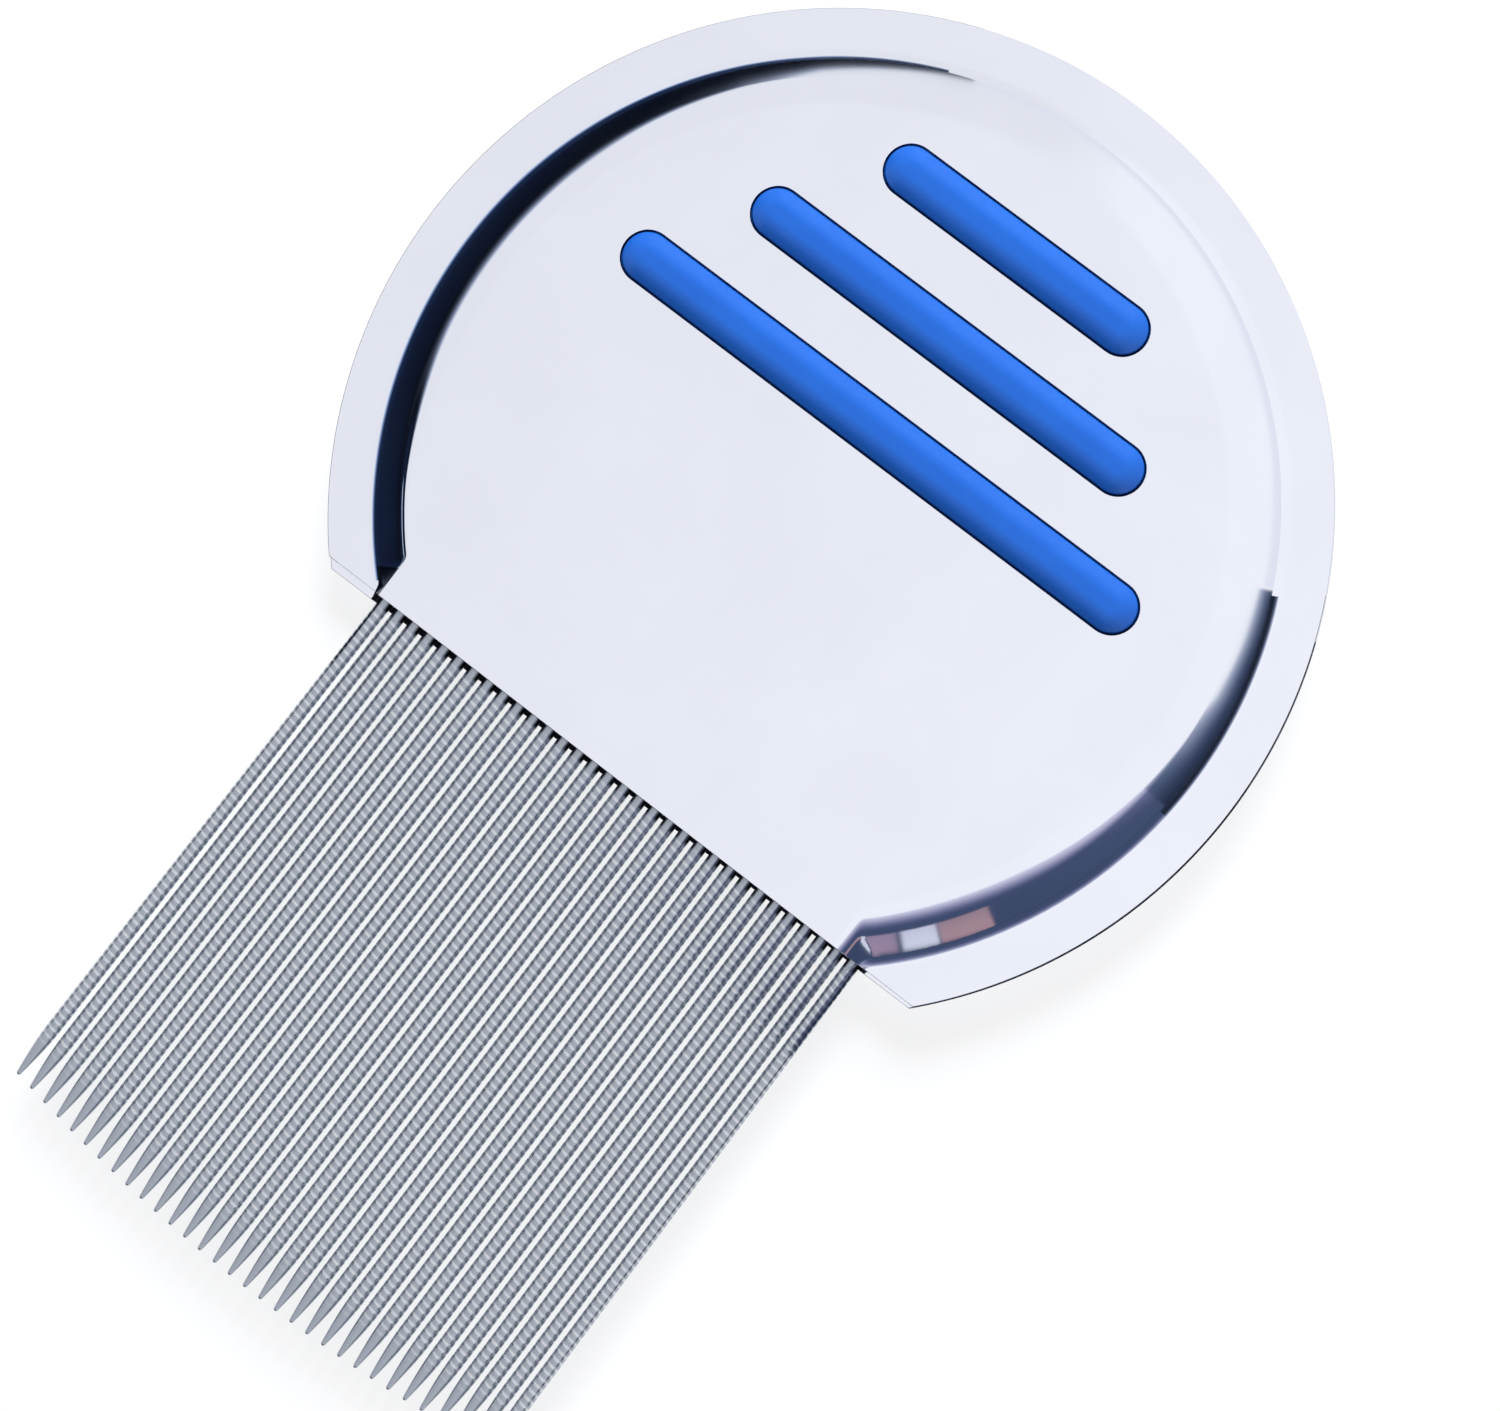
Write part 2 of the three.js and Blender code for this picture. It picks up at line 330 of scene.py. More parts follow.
def makeBlueAbs():
    material, tree = newMaterial("mouldedBlueAbs")
    place = addNode(tree, "ShaderNodeTexCoord").outputs["Object"]
    flow = addNode(tree, "ShaderNodeTexNoise", {
        "Vector": place, "Scale": perMetre(blueAbs["flowSize"]), "Detail": 2.0, "Distortion": 0.6})
    grain = addNode(tree, "ShaderNodeTexNoise", {
        "Vector": place, "Scale": perMetre(blueAbs["grainSize"]), "Detail": 2.0})
    colour = addNode(tree, "ShaderNodeMix", {
        "Factor": flow.outputs["Fac"], firstColour: toLinear(blueAbs["colour"]),
        secondColour: toLinear(blueAbs["flow"])}, data_type="RGBA")
    low, high = blueAbs["roughness"]
    roughness = addNode(tree, "ShaderNodeMapRange", {
        "Value": grain.outputs["Fac"], "To Min": low, "To Max": high})
    bump = addNode(tree, "ShaderNodeBump", {
        "Height": grain.outputs["Fac"], "Distance": blueAbs["grainHeight"] * mm, "Strength": 1.0})
    shader = addNode(tree, "ShaderNodeBsdfPrincipled", {
        "Base Color": colour.outputs[mixedColour], "Roughness": roughness.outputs["Result"],
        "IOR": blueAbs["ior"], "Normal": bump.outputs["Normal"]})
    return finishMaterial(material, tree, shader.outputs["BSDF"])


# Moulded black nylon: dull, slightly mottled, it only shows as the dark inside of the mouth.
blackNylon = {
    "colour": "#10121A",
    "mottle": "#191C26",
    "roughness": 0.55,
    "ior": 1.53,
    "mottleSize": 0.4,
    "mottleHeight": 0.006,
}


def makeBlackNylon():
    material, tree = newMaterial("mouldedBlackNylon")
    place = addNode(tree, "ShaderNodeTexCoord").outputs["Object"]
    mottle = addNode(tree, "ShaderNodeTexNoise", {
        "Vector": place, "Scale": perMetre(blackNylon["mottleSize"]), "Detail": 3.0})
    colour = addNode(tree, "ShaderNodeMix", {
        "Factor": mottle.outputs["Fac"], firstColour: toLinear(blackNylon["colour"]),
        secondColour: toLinear(blackNylon["mottle"])}, data_type="RGBA")
    bump = addNode(tree, "ShaderNodeBump", {
        "Height": mottle.outputs["Fac"], "Distance": blackNylon["mottleHeight"] * mm, "Strength": 1.0})
    shader = addNode(tree, "ShaderNodeBsdfPrincipled", {
        "Base Color": colour.outputs[mixedColour], "Roughness": blackNylon["roughness"],
        "IOR": blackNylon["ior"], "Normal": bump.outputs["Normal"]})
    return finishMaterial(material, tree, shader.outputs["BSDF"])


sheetSteelMaterial = makeSheetSteel()
cutSteelMaterial = makeOtherSteel("shearedStainlessEdge")
rimSteelMaterial = makeOtherSteel("buffedStainlessRim")
insideSteelMaterial = makeOtherSteel("insideStainlessPaintedShade")
wireSteelMaterial = makeWireSteel()
blueAbsMaterial = makeBlueAbs()
blackNylonMaterial = makeBlackNylon()
print("materials made")


shell = {
    "sheet": 0.5,
    "panelRadius": 27.8,        # where the raised panel's edge reads
    "bendInside": 1.1,          # how far the bend starts inside the panel's edge
    "bendOutside": 2.9,         # and where the bend ends, outside it
    "panelBend": 3.4,           # radius of the bend at the panel
    "footBend": 1.2,            # and of the one at the flange
    "mouthHalfLeft": 19.7,      # from the middle to the start of the bend, at the mouth
    "mouthHalfRight": 18.4,
    "mouthFillet": 1.0,         # where the round outline turns down to the mouth
    "turnAngle": 40.0,          # below the middle, where the outline starts to leave the circle
    "tuckFrom": 190.0,          # degrees, where the bend starts to get tighter towards the left corner
    "tuckTo": 216.0,
    "tuckEdge": 0.4,            # outside the panel's edge, the line that the bend's inner rows draw towards
    "tuckShare": 0.75,          # and how much of the way there they go
    "edge": {"radius": 0.16, "segments": 3, "angle": 50},
    "backLipLeft": 0.6,         # how far the back shell's cut stands past the front one's
    "backLipRight": 0.25,
    "circleSteps": 216,
    "flankSteps": 22,
    "paintedShadeSteps": 10,            # how many of them, on the steep left flank by the mouth, take the dark sheared-edge steel as painted shade
    "paintedShadeRows": (9, 20),        # and which rows of the step
    "turnSteps": 24,            # points on the turn off the circle, and again on its small fillet
    "overrun": 4.0,             # how far a flank is drawn past the cut, before it is trimmed there
    "cutTries": 8,              # rounds to find where the askew cut meets the rim
    "holdRow": 0.15,            # a row close to the bend, which keeps the panel flat right up to it
    "flangeShares": (0.06, 0.5, 0.94, 1.0),   # rows across the flange, from its foot to the rim
    "bendSteps": 12,
}

ribs = {
    "width": 3.4,
    "pitch": 7.48,
    "lastY": 21.0,
    "halfLengths": (10.55, 15.94, 21.155),   # from the last rib, near the handle's round end, to the first
    "slotGap": 0.13,
    "shoulderWidth": 1.3,
    "shoulderHeight": 0.44,
    "shoulderPower": 1.7,      # 1 would be a flat chamfer, 2 fades smoothly into the top
    "crown": 0.06,
    "endSteps": 20,
    "sideSteps": 24,
    "shoulderSteps": 9,
    "crownShares": (0.35, 0.7, 0.92),        # rows from the shoulder to the middle line
}


def frontCut(x):
    # straight across
    return cutY


def backCut(x):
    # the back shell was cut a little askew
    halfCut = math.sqrt(rimRadius ** 2 - cutY ** 2)
    return cutY - between(shell["backLipLeft"], shell["backLipRight"], (x / halfCut + 1) / 2)


def smooth(share):
    # 0 to 1, with soft ends
    share = min(1.0, max(0.0, share))
    return share * share * (3 - 2 * share)


def tuckOffset(offset, angle):
    # near the left corner the bend at the panel gets tighter: its inner rows draw together
    share = smooth((angle - shell["tuckFrom"]) / (shell["tuckTo"] - shell["tuckFrom"]))
    reach = max(0.0, shell["tuckEdge"] - max(offset, -shell["bendInside"]))
    return offset + shell["tuckShare"] * share * reach


def flankPath(side, offset):
    # down one side: off the round outline, through a small fillet and straight down past the cut
    if side < 0:
        offset = tuckOffset(offset, shell["tuckTo"])
    radius = shell["panelRadius"] + offset
    share = (offset + shell["bendInside"]) / (shell["bendInside"] + shell["bendOutside"])
    mouthHalf = shell["mouthHalfRight"] if side > 0 else shell["mouthHalfLeft"]
    footX = math.sqrt((shell["panelRadius"] + shell["bendOutside"]) ** 2 - cutY ** 2)
    x = between(mouthHalf, footX, share)
    fillet = shell["mouthFillet"]
    centreY = -math.sqrt((radius + fillet) ** 2 - (x + fillet) ** 2)
    turn = math.atan2(centreY, x + fillet)
    start = -math.radians(shell["turnAngle"])
    steps = shell["turnSteps"]
    points = [polar(radius, between(start, turn, i / steps)) for i in range(steps)]
    for i in range(steps + 1):
        dx, dy = polar(fillet, math.pi + turn * (1 - i / steps))
        points.append((x + fillet + dx, centreY + dy))
    points.append((x, cutY - shell["overrun"]))
    return [(side * px, py) for px, py in points]


def flankRow(side, offset, cutLine):
    # the same number of evenly spaced points on every row, from the circle down to the cut
    kept = []
    for point in flankPath(side, offset):
        above = point[1] - cutLine(point[0])
        if above <= 0:
            last = kept[-1]
            share = (last[1] - cutLine(last[0])) / (last[1] - cutLine(last[0]) - above)
            kept.append((between(last[0], point[0], share), between(last[1], point[1], share)))
            break
        kept.append(point)
    travelled = [0.0]
    for a, b in zip(kept, kept[1:]):
        travelled.append(travelled[-1] + math.dist(a, b))
    row = []
    index = 0
    for i in range(1, shell["flankSteps"] + 1):
        wanted = travelled[-1] * i / shell["flankSteps"]
        while index < len(kept) - 2 and travelled[index + 1] < wanted:
            index += 1
        share = (wanted - travelled[index]) / (travelled[index + 1] - travelled[index])
        row.append((between(kept[index][0], kept[index + 1][0], share),
                    between(kept[index][1], kept[index + 1][1], share)))
    return row


def outlineRow(offset, cutLine):
    # one line of the shell at an offset from the panel's edge, from the right of the mouth round to the left
    steps = shell["circleSteps"]
    start = -math.radians(shell["turnAngle"])
    angles = [between(start, math.pi - start, i / steps) for i in range(steps + 1)]
    arc = [polar(shell["panelRadius"] + tuckOffset(offset, math.degrees(angle)), angle) for angle in angles]
    return flankRow(1, offset, cutLine)[::-1] + arc + flankRow(-1, offset, cutLine)


def rimRow(radius, cutLine, pattern):
    # the same number of points on the rim as in the pattern row, spaced the same way
    ends = []
    for side in (1, -1):
        angle = math.asin(cutLine(side * radius) / radius)
        for _ in range(shell["cutTries"]):
            angle = math.asin(cutLine(side * radius * math.cos(angle)) / radius)
        ends.append(angle if side > 0 else math.pi - angle)
    travelled = [0.0]
    for a, b in zip(pattern, pattern[1:]):
        travelled.append(travelled[-1] + math.dist(a, b))
    return [polar(radius, between(ends[0], ends[1], t / travelled[-1])) for t in travelled]


def stepProfile(thickness):
    # (offset, height) across the S-shaped step, moved in by a thickness for the sheet's inner face
    width = shell["bendInside"] + shell["bendOutside"]
    rise = panelHeight - shell["sheet"]
    panelBend, footBend = shell["panelBend"], shell["footBend"]
    spare = panelBend + footBend - rise
    slope = math.asin((panelBend + footBend) / math.hypot(width, spare)) - math.atan2(spare, width)
    points = []
    for i in range(shell["bendSteps"] + 1):
        dx, dz = polar(panelBend - thickness, math.pi / 2 - slope * i / shell["bendSteps"])
        points.append((dx - shell["bendInside"], panelHeight - panelBend + dz))
    for i in range(shell["bendSteps"], -1, -1):
        dx, dz = polar(footBend + thickness, -math.pi / 2 - slope * i / shell["bendSteps"])
        points.append((shell["bendOutside"] + dx, shell["sheet"] + footBend + dz))
    return points


def stadiumRow(halfLength, halfWidth, y, inset=0.0):
    # a long round-ended outline; the inset shrinks it evenly
    radius = halfWidth - inset
    straight = halfLength - halfWidth
    points = []
    for side in (1, -1):
        start = -math.pi / 2 if side > 0 else math.pi / 2
        for i in range(ribs["endSteps"] + 1):
            dx, dy = polar(radius, start + math.pi * i / ribs["endSteps"])
            points.append((side * straight + dx, y + dy))
        for i in range(1, ribs["sideSteps"]):
            points.append((side * straight * (1 - 2 * i / ribs["sideSteps"]), y + side * radius))
    return points


def ribPlaces():
    return [(ribs["lastY"] - i * ribs["pitch"], half) for i, half in enumerate(ribs["halfLengths"])]


def makeShell(name, node, facing, cutLine):
    # facing is 1 for the front and -1 for the back, which is the same pressing turned over
    bm = bmesh.new()
    sections = list(zip(stepProfile(0.0), stepProfile(shell["sheet"])))
    paintedShadeFrom, paintedShadeTo = shell["paintedShadeRows"]
    rowPairs = []
    for (outerOffset, outerHeight), (innerOffset, innerHeight) in sections:
        rowPairs.append((addRow(bm, outlineRow(outerOffset, cutLine), facing * outerHeight),
                         addRow(bm, outlineRow(innerOffset, cutLine), facing * innerHeight)))
    inside = outlineRow(sections[0][0][0] - shell["holdRow"], cutLine)
    rowPairs.insert(0, (addRow(bm, inside, facing * panelHeight),
                        addRow(bm, inside, facing * (panelHeight - shell["sheet"]))))
    foot = outlineRow(shell["bendOutside"], cutLine)
    rim = rimRow(rimRadius, cutLine, foot)
    for share in shell["flangeShares"]:
        points = [(between(a[0], b[0], share), between(a[1], b[1], share)) for a, b in zip(foot, rim)]
        rowPairs.append((addRow(bm, points, facing * shell["sheet"]), addRow(bm, points, 0.0)))
    for i, ((outerA, innerA), (outerB, innerB)) in enumerate(zip(rowPairs, rowPairs[1:])):
        joinRows(bm, outerA, outerB, paintedShade=shell["paintedShadeSteps"] if paintedShadeFrom <= i < paintedShadeTo else 0)
        joinRows(bm, innerA, innerB, materialIndex=2 if i < len(sections) else 0)
        for end in (0, -1):
            face = bm.faces.new((outerA[end], outerB[end], innerB[end], innerA[end]))
            face.material_index = 1
    joinRows(bm, rowPairs[-1][0], rowPairs[-1][1], materialIndex=3)
    panelOuter, panelInner = rowPairs[0]
    face = bm.faces.new((panelOuter[0], panelOuter[-1], panelInner[-1], panelInner[0]))
    face.material_index = 1
    outerSlots, innerSlots = [], []
    for y, half in ribPlaces():
        outline = stadiumRow(half + ribs["slotGap"], ribs["width"] / 2 + ribs["slotGap"], y)
        outerSlots.append(addRow(bm, outline, facing * panelHeight))
        innerSlots.append(addRow(bm, outline, facing * (panelHeight - shell["sheet"])))
        joinRows(bm, outerSlots[-1], innerSlots[-1], closed=True, materialIndex=1)
    fillFlat(bm, [panelOuter] + outerSlots)
    fillFlat(bm, [panelInner] + innerSlots, materialIndex=2)
    steels = (sheetSteelMaterial, cutSteelMaterial, insideSteelMaterial, rimSteelMaterial)
    piece = placePiece(name, bm, steels, node)
    roundEdges(piece, **shell["edge"])


makeShell("frontShell", "front_shell", 1, frontCut)
makeShell("backShell", "back_shell", -1, backCut)
print("shells made")


core = {
    "clearance": 0.05,     # to the shells' inner faces
    "arcSteps": 96,
    "edgeHalf": 0.3,       # half the thickness left at its edge
    "edgeShare": 0.5,      # where the edge's flat stops, as a share of that half
    "holdRow": 0.2,        # a row close to the bend, which keeps the flat true
    "rounding": {"radius": 0.09, "segments": 3, "angle": 40},
}


def coreRow(offset):
    # the shells' circle again, stopped at the flat end that faces the clamp strips
    radius = shell["panelRadius"] + offset
    end = math.asin(coreEndY / radius)
    steps = core["arcSteps"]
    return [polar(radius, between(end, math.pi - end, i / steps)) for i in range(steps + 1)]


def addRib(bm, y, half, foot, facing):
    # from its foot on the core's flat, up through the slot and over the shoulders to a slightly crowned top
    halfWidth = ribs["width"] / 2
    shoulderTop = ribCrest - ribs["crown"]
    steps = ribs["shoulderSteps"]
    levels = [(0.0, foot), (0.0, shoulderTop - ribs["shoulderHeight"])]
    for i in range(1, steps + 1):
        drop = ribs["shoulderHeight"] * (1 - i / steps) ** ribs["shoulderPower"]
        levels.append((ribs["shoulderWidth"] * i / steps, shoulderTop - drop))
    for share in ribs["crownShares"]:
        levels.append((between(ribs["shoulderWidth"], halfWidth, share), shoulderTop))
    rows = []
    for inset, height in levels:
        height += ribs["crown"] * (1 - (1 - inset / halfWidth) ** 2)
        rows.append(addRow(bm, stadiumRow(half, halfWidth, y, inset), facing * height))
    for lower, upper in zip(rows, rows[1:]):
        joinRows(bm, lower, upper, closed=True)
    fillFlat(bm, [rows[-1]])
    return rows[0]


def makeCore():
    bm = bmesh.new()
    profile = [(offset, height) for offset, height in stepProfile(shell["sheet"] + core["clearance"])
               if height > core["edgeHalf"]]
    halves = []
    for facing in (1, -1):
        rows = [addRow(bm, coreRow(profile[0][0] - core["holdRow"]), facing * profile[0][1])]
        rows += [addRow(bm, coreRow(offset), facing * height) for offset, height in profile]
        rows.append(addRow(bm, coreRow(profile[-1][0]), facing * core["edgeHalf"] * core["edgeShare"]))
        for a, b in zip(rows, rows[1:]):
            joinRows(bm, a, b)
        feet = [addRib(bm, y, half, profile[0][1], facing) for y, half in ribPlaces()]
        fillFlat(bm, [rows[0]] + feet)
        halves.append(rows)
    joinRows(bm, halves[0][-1], halves[1][-1])
    # the flat end that faces the clamp strips
    section = [row[0] for row in halves[0]] + [row[0] for row in reversed(halves[1])]
    section += [row[-1] for row in halves[1]] + [row[-1] for row in reversed(halves[0])]
    bm.faces.new(section)
    piece = placePiece("gripCore", bm, (blueAbsMaterial,), "grip_core")
    roundEdges(piece, **core["rounding"])


makeCore()
print("grip core made")


teeth = {
    "count": 32,
    "diameter": 1.0,
    "pitch": 1.28,
    "setback": 1.65,        # how much shorter the outermost teeth are
    "splay": 0.45,          # how much further out the outermost tips stand
    "tipLength": 4.2,
    "tipRadius": 0.16,
    "groovePitch": 0.53,    # a reading at the limit of what could be seen
    "grooveDepth": 0.016,
    "grooveShare": 0.5,     # of the pitch
    "grooveStart": 2.4,     # radians, how much further round each next tooth's groove starts
    "grooveFadeIn": 0.6,    # how far the groove takes to reach its depth, and to run out
    "grooveFadeOut": 1.5,
    "plainRoot": 0.5,
    "plainTip": 0.55,       # of the tip's length
    "paintedRootShadeReach": 0.75,   # how far past the front cut the painted root shade is drawn up the sides
    "paintedRootShadeClear": 0.42,   # half the width of the bare top there, as a share of the radius
    "paintedRootShadeSoft": 0.3,     # how wide its edge fades across the tooth, in the same share
    "paintedRootShadeFade": 0.25,    # and along it
    "sides": 20,
    "rowsPerPitch": 6,
    "shankRows": (-4.0, -1.0, -0.2, 0.0),     # along the hidden shank; 0 is the front cut
    "tipRows": (1.0, 0.62, 0.3, 0.08),        # round the tip, as shares of its radius from the end
}


def grooveAt(distance, angle, reach):
    # 0 on the land and 1 at the bottom of the spiral groove
    fadeIn = (distance - teeth["plainRoot"]) / teeth["grooveFadeIn"]
    fadeOut = (reach - teeth["tipLength"] * teeth["plainTip"] - distance) / teeth["grooveFadeOut"]
    fade = min(1.0, fadeIn, fadeOut)
    if fade <= 0:
        return 0.0
    phase = (distance / teeth["groovePitch"] + angle / (2 * math.pi)) % 1.0
    across = abs(phase - 0.5) / (teeth["grooveShare"] / 2)
    return fade * (0.5 + 0.5 * math.cos(math.pi * across)) if across < 1 else 0.0


def radiusAt(distance, reach):
    # the full radius, then a long curved taper, then a round end
    radius = teeth["diameter"] / 2
    fromTip = reach - distance
    if fromTip >= teeth["tipLength"]:
        return radius
    if fromTip < teeth["tipRadius"]:
        return teeth["tipRadius"] * math.sqrt(max(0.0, 1 - (1 - fromTip / teeth["tipRadius"]) ** 2))
    share = (fromTip - teeth["tipRadius"]) / (teeth["tipLength"] - teeth["tipRadius"])
    return between(teeth["tipRadius"], radius, math.sin(math.pi / 2 * share))


def paintedRootShadeAt(distance, angle):
    # painted shade at the roots: 1 low on the sides next to the mouth, fading to the bare top and down the
    # tooth
    if math.sin(angle) < 0:
        return 1.0 if distance < teeth["paintedRootShadeReach"] else 0.0
    side = (abs(math.cos(angle)) - teeth["paintedRootShadeClear"]) / teeth["paintedRootShadeSoft"]
    down = (teeth["paintedRootShadeReach"] - distance) / teeth["paintedRootShadeFade"]
    return max(0.0, min(1.0, side, down))


def makeTooth(index):
    # distances run along the tooth from the front cut, negative up the shank and positive down to the tip
    halfCount = (teeth["count"] - 1) / 2
    x = (index - halfCount) * teeth["pitch"]
    outmost = halfCount * teeth["pitch"]
    reach = cutY - tipY - teeth["setback"] * (x / outmost) ** 2
    turn = math.asin(teeth["splay"] / (cutY - tipY) * x / outmost)
    rowGap = teeth["groovePitch"] / teeth["rowsPerPitch"]
    distances = [cutY - shankEndY, *teeth["shankRows"]]
    while distances[-1] < reach - teeth["tipRadius"] - rowGap:
        distances.append(distances[-1] + rowGap)
    distances += [reach - teeth["tipRadius"] * share for share in teeth["tipRows"]]
    bm = bmesh.new()
    depthLayer = bm.verts.layers.float.new("grooveDepth")
    paintedRootShadeLayer = bm.verts.layers.float.new("paintedRootShade")
    rows = []
    for distance in distances:
        row = []
        for side in range(teeth["sides"]):
            angle = 2 * math.pi * side / teeth["sides"]
            groove = grooveAt(distance, angle + index * teeth["grooveStart"], reach)
            dx, dz = polar(radiusAt(distance, reach) - groove * teeth["grooveDepth"], angle)
            vertex = bm.verts.new((
                x + dx * math.cos(turn) + distance * math.sin(turn),
                cutY - distance * math.cos(turn) + dx * math.sin(turn), dz))
            vertex[depthLayer] = groove
            vertex[paintedRootShadeLayer] = paintedRootShadeAt(distance, angle)
            row.append(vertex)
        rows.append(row)
    for a, b in zip(rows, rows[1:]):
        joinRows(bm, a, b, closed=True)
    bm.faces.new(rows[0])
    bm.faces.new(rows[-1])
    number = f"{index + 1:02d}"
    placePiece("tooth" + number, bm, (wireSteelMaterial,), "tooth_" + number)


for index in range(teeth["count"]):
    makeTooth(index)
print("teeth made")


# The clamp strips keep their CAD shapes, in black nylon.
for name in ("front_clamp_strip", "back_clamp_strip"):
    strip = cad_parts[name]
    strip.data.materials.clear()
    strip.data.materials.append(blackNylonMaterial)


studio = {
    "white": (1.0, 1.0, 1.0, 1.0),
    "floorSize": 4.0,           # metres, as are the softbox's sizes
    "floorColour": "#8E9094",
    "floorGlow": 0.80,          # seen by the camera and in reflections only, so that the floor reads as white
    "ambient": 0.26,            # the share of white light from all round
    "softbox": {"from": (-0.28, 0.76, 0.60), "distance": 0.9, "size": 0.5, "watts": 9.3},
    "roomDim": 0.89,            # what the steel mirrors on the room's far left side, and the x it starts from
    "roomFrom": (-0.27, -0.10),
}

# Flags, the cards that are stood round the part and seen only in its steel. They take no light and give none:
# each glows with its own tones, so what the steel shows of them is painted reflection, dark and pale. Each
# one is bent round the middle of the handle at a distance. Two heights are given at even steps of its
# azimuth, in millimetres above the
# joint plane: where its dark part ends and where the fade above it ends. Its tones run from the foot (0) to
# the end of the dark part (0.4) and on to its top edge (1).
blackTones = (
    (0.0, "#121A2C"), (0.25, "#141F36"), (0.33, "#0D1424"), (0.4, "#0A0E18"), (0.52, "#1C212C"),
    (0.66, "#424856"), (0.82, "#828A9C"), (0.93, "#BEC7D8"), (1.0, "#D8E0EE"))
slateTones = (
    (0.0, "#36425C"), (0.4, "#44516F"), (0.47, "#5A6282"),
    (0.57, "#8486A4"), (0.72, "#B4B2CA"), (1.0, "#DEDEEC"))
inkTones = (
    (0.0, "#10161F"), (0.36, "#1B2536"), (0.4, "#33405A"),
    (0.55, "#4F5D7A"), (0.8, "#8C96AC"), (1.0, "#CCD2E0"))
footSlateTones = (
    (0.0, "#DADCEA"), (0.22, "#A2A4BC"), (0.3, "#7A7E9C"), (0.4, "#44516F"), (1.0, "#3A4660"))
footInkTones = (
    (0.0, "#D4D8E6"), (0.22, "#8C94A8"), (0.3, "#4A5468"), (0.4, "#121824"), (1.0, "#2C3850"))
footBlueTones = (
    (0.0, "#E4ECF8"), (0.16, "#B8C8E0"), (0.28, "#6E86B0"), (0.4, "#1A2A48"), (1.0, "#101828"))
nightTones = ((0.0, "#080B12"), (0.4, "#10161F"), (0.8, "#2A3344"), (1.0, "#8C96AC"))
greyTones = ((0.0, "#14171E"), (0.4, "#2E323C"), (1.0, "#8E929E"))
flags = {
    # the left bend's dark band, with its soft inner edge
    "leftFlag": {
        "distance": 38.0, "azimuth": (110.5, 228), "foot": -2.8, "tones": blackTones,
        "darks": (2.3, 2.35, 2.25, 2.2, 2.35, 2.6, 3.2, 3.65, 3.83, 3.9, 4.8, 5.5, 3.5),
        "tops": (2.5, 2.7, 2.85, 3.6, 5.5, 7.5, 8.8, 9.45, 9.7, 9.8, 9.8, 8.5, 5.5)},
    # the right bend's slate band, and its darker end
    "rightFlag": {
        "distance": 38.0, "azimuth": (-52, -4), "foot": -2.8, "tones": slateTones,
        "darks": (10.0, 10.4, 10.0, 8.6, 7.0, 6.2, 5.7),
        "tops": (27.8, 31.0, 30.0, 25.0, 18.4, 13.5, 9.8)},
    "rightFlagEnd": {
        "distance": 38.0, "azimuth": (-4, 27.6), "foot": -2.8, "tones": inkTones,
        "darks": (5.61, 5.34, 5.1, 4.91, 4.68),
        "tops": (9.8, 7.3, 6.2, 5.8, 5.5)},
    # the small patches in the slate band
    "roseFlag": {
        "distance": 37.6, "azimuth": (-38.4, -31.2), "foot": 4.6,
        "tones": ((0.0, "#BE979B"), (1.0, "#A08890")),
        "darks": (5.0, 5.0), "tops": (6.4, 6.4)},
    "whiteFlag": {
        "distance": 37.6, "azimuth": (-43.6, -38.7), "foot": 4.6,
        "tones": ((0.0, "#E8ECF6"), (1.0, "#CFCFE0")),
        "darks": (5.0, 5.0), "tops": (6.4, 6.4)},
    "mauveFlag": {
        "distance": 37.6, "azimuth": (-48.8, -44.3), "foot": 4.6,
        "tones": ((0.0, "#AC92A6"), (1.0, "#9A8AA2")),
        "darks": (5.0, 5.0), "tops": (6.3, 6.3)},
    # the bands' outer edges, in the small bend at the flange
    "footFlag": {
        "distance": 30.5, "azimuth": (-50, -5), "foot": 0.5, "tones": footSlateTones,
        "darks": (0.92, 0.92), "tops": (1.08, 1.08)},
    "footFlagEnd": {
        "distance": 30.5, "azimuth": (-5, 25.7), "foot": 0.5, "tones": footInkTones,
        "darks": (0.92, 0.92), "tops": (1.0, 1.0)},
    "footFlagLeft": {
        "distance": 30.5, "azimuth": (112, 226), "tones": footBlueTones,
        "feet": (0.79, 0.76, 0.66, 0.52, 0.5, 0.5, 0.5),
        "darks": (0.8, 0.79, 0.755, 0.735, 0.73, 0.73, 0.73), "tops": (0.85,) * 7},
    # a faint shade in the bend between the two bands
    "paleFlag": {
        "distance": 38.0, "azimuth": (28, 110.5), "foot": -2.8,
        "tones": ((0.0, "#E2E4EC"), (1.0, "#F0F1F6")),
        "darks": (3.0, 2.0), "tops": (5.2, 2.6)},
    # flat on the floor: the dark line along the rim
    "floorFlag": {
        "footDistance": 33.6, "distance": 37.9, "azimuth": (-48, 4), "foot": -2.77,
        "tones": ((0.0, "#0C1018"), (1.0, "#181E2A")), "darks": (-2.76, -2.76), "tops": (-2.75, -2.75)},
    "floorFlagEnd": {
        "footDistance": 33.6, "distance": 37.9, "azimuth": (4, 22), "foot": -2.77,
        "tones": ((0.0, "#4A505C"), (1.0, "#4A505C")), "darks": (-2.76, -2.76), "tops": (-2.75, -2.75)},
    # far off: the shade on the near sides of the ribs, and on both sides of the teeth
    "nearFlag": {
        "distance": 450.0, "azimuth": (240, 305), "foot": 0.0, "tones": nightTones,
        "darks": (400.0, 400.0), "tops": (560.0, 560.0)},
    "teethFlagLeft": {
        "distance": 450.0, "azimuth": (166, 194), "foot": 0.0, "tones": greyTones,
        "darks": (90.0, 110.0, 115.0), "tops": (200.0, 245.0, 255.0)},
    "teethFlagRight": {
        "distance": 450.0, "azimuth": (-16, 14), "foot": 0.0, "tones": greyTones,
        "darks": (150.0, 100.0, 75.0), "tops": (340.0, 220.0, 170.0)},
}


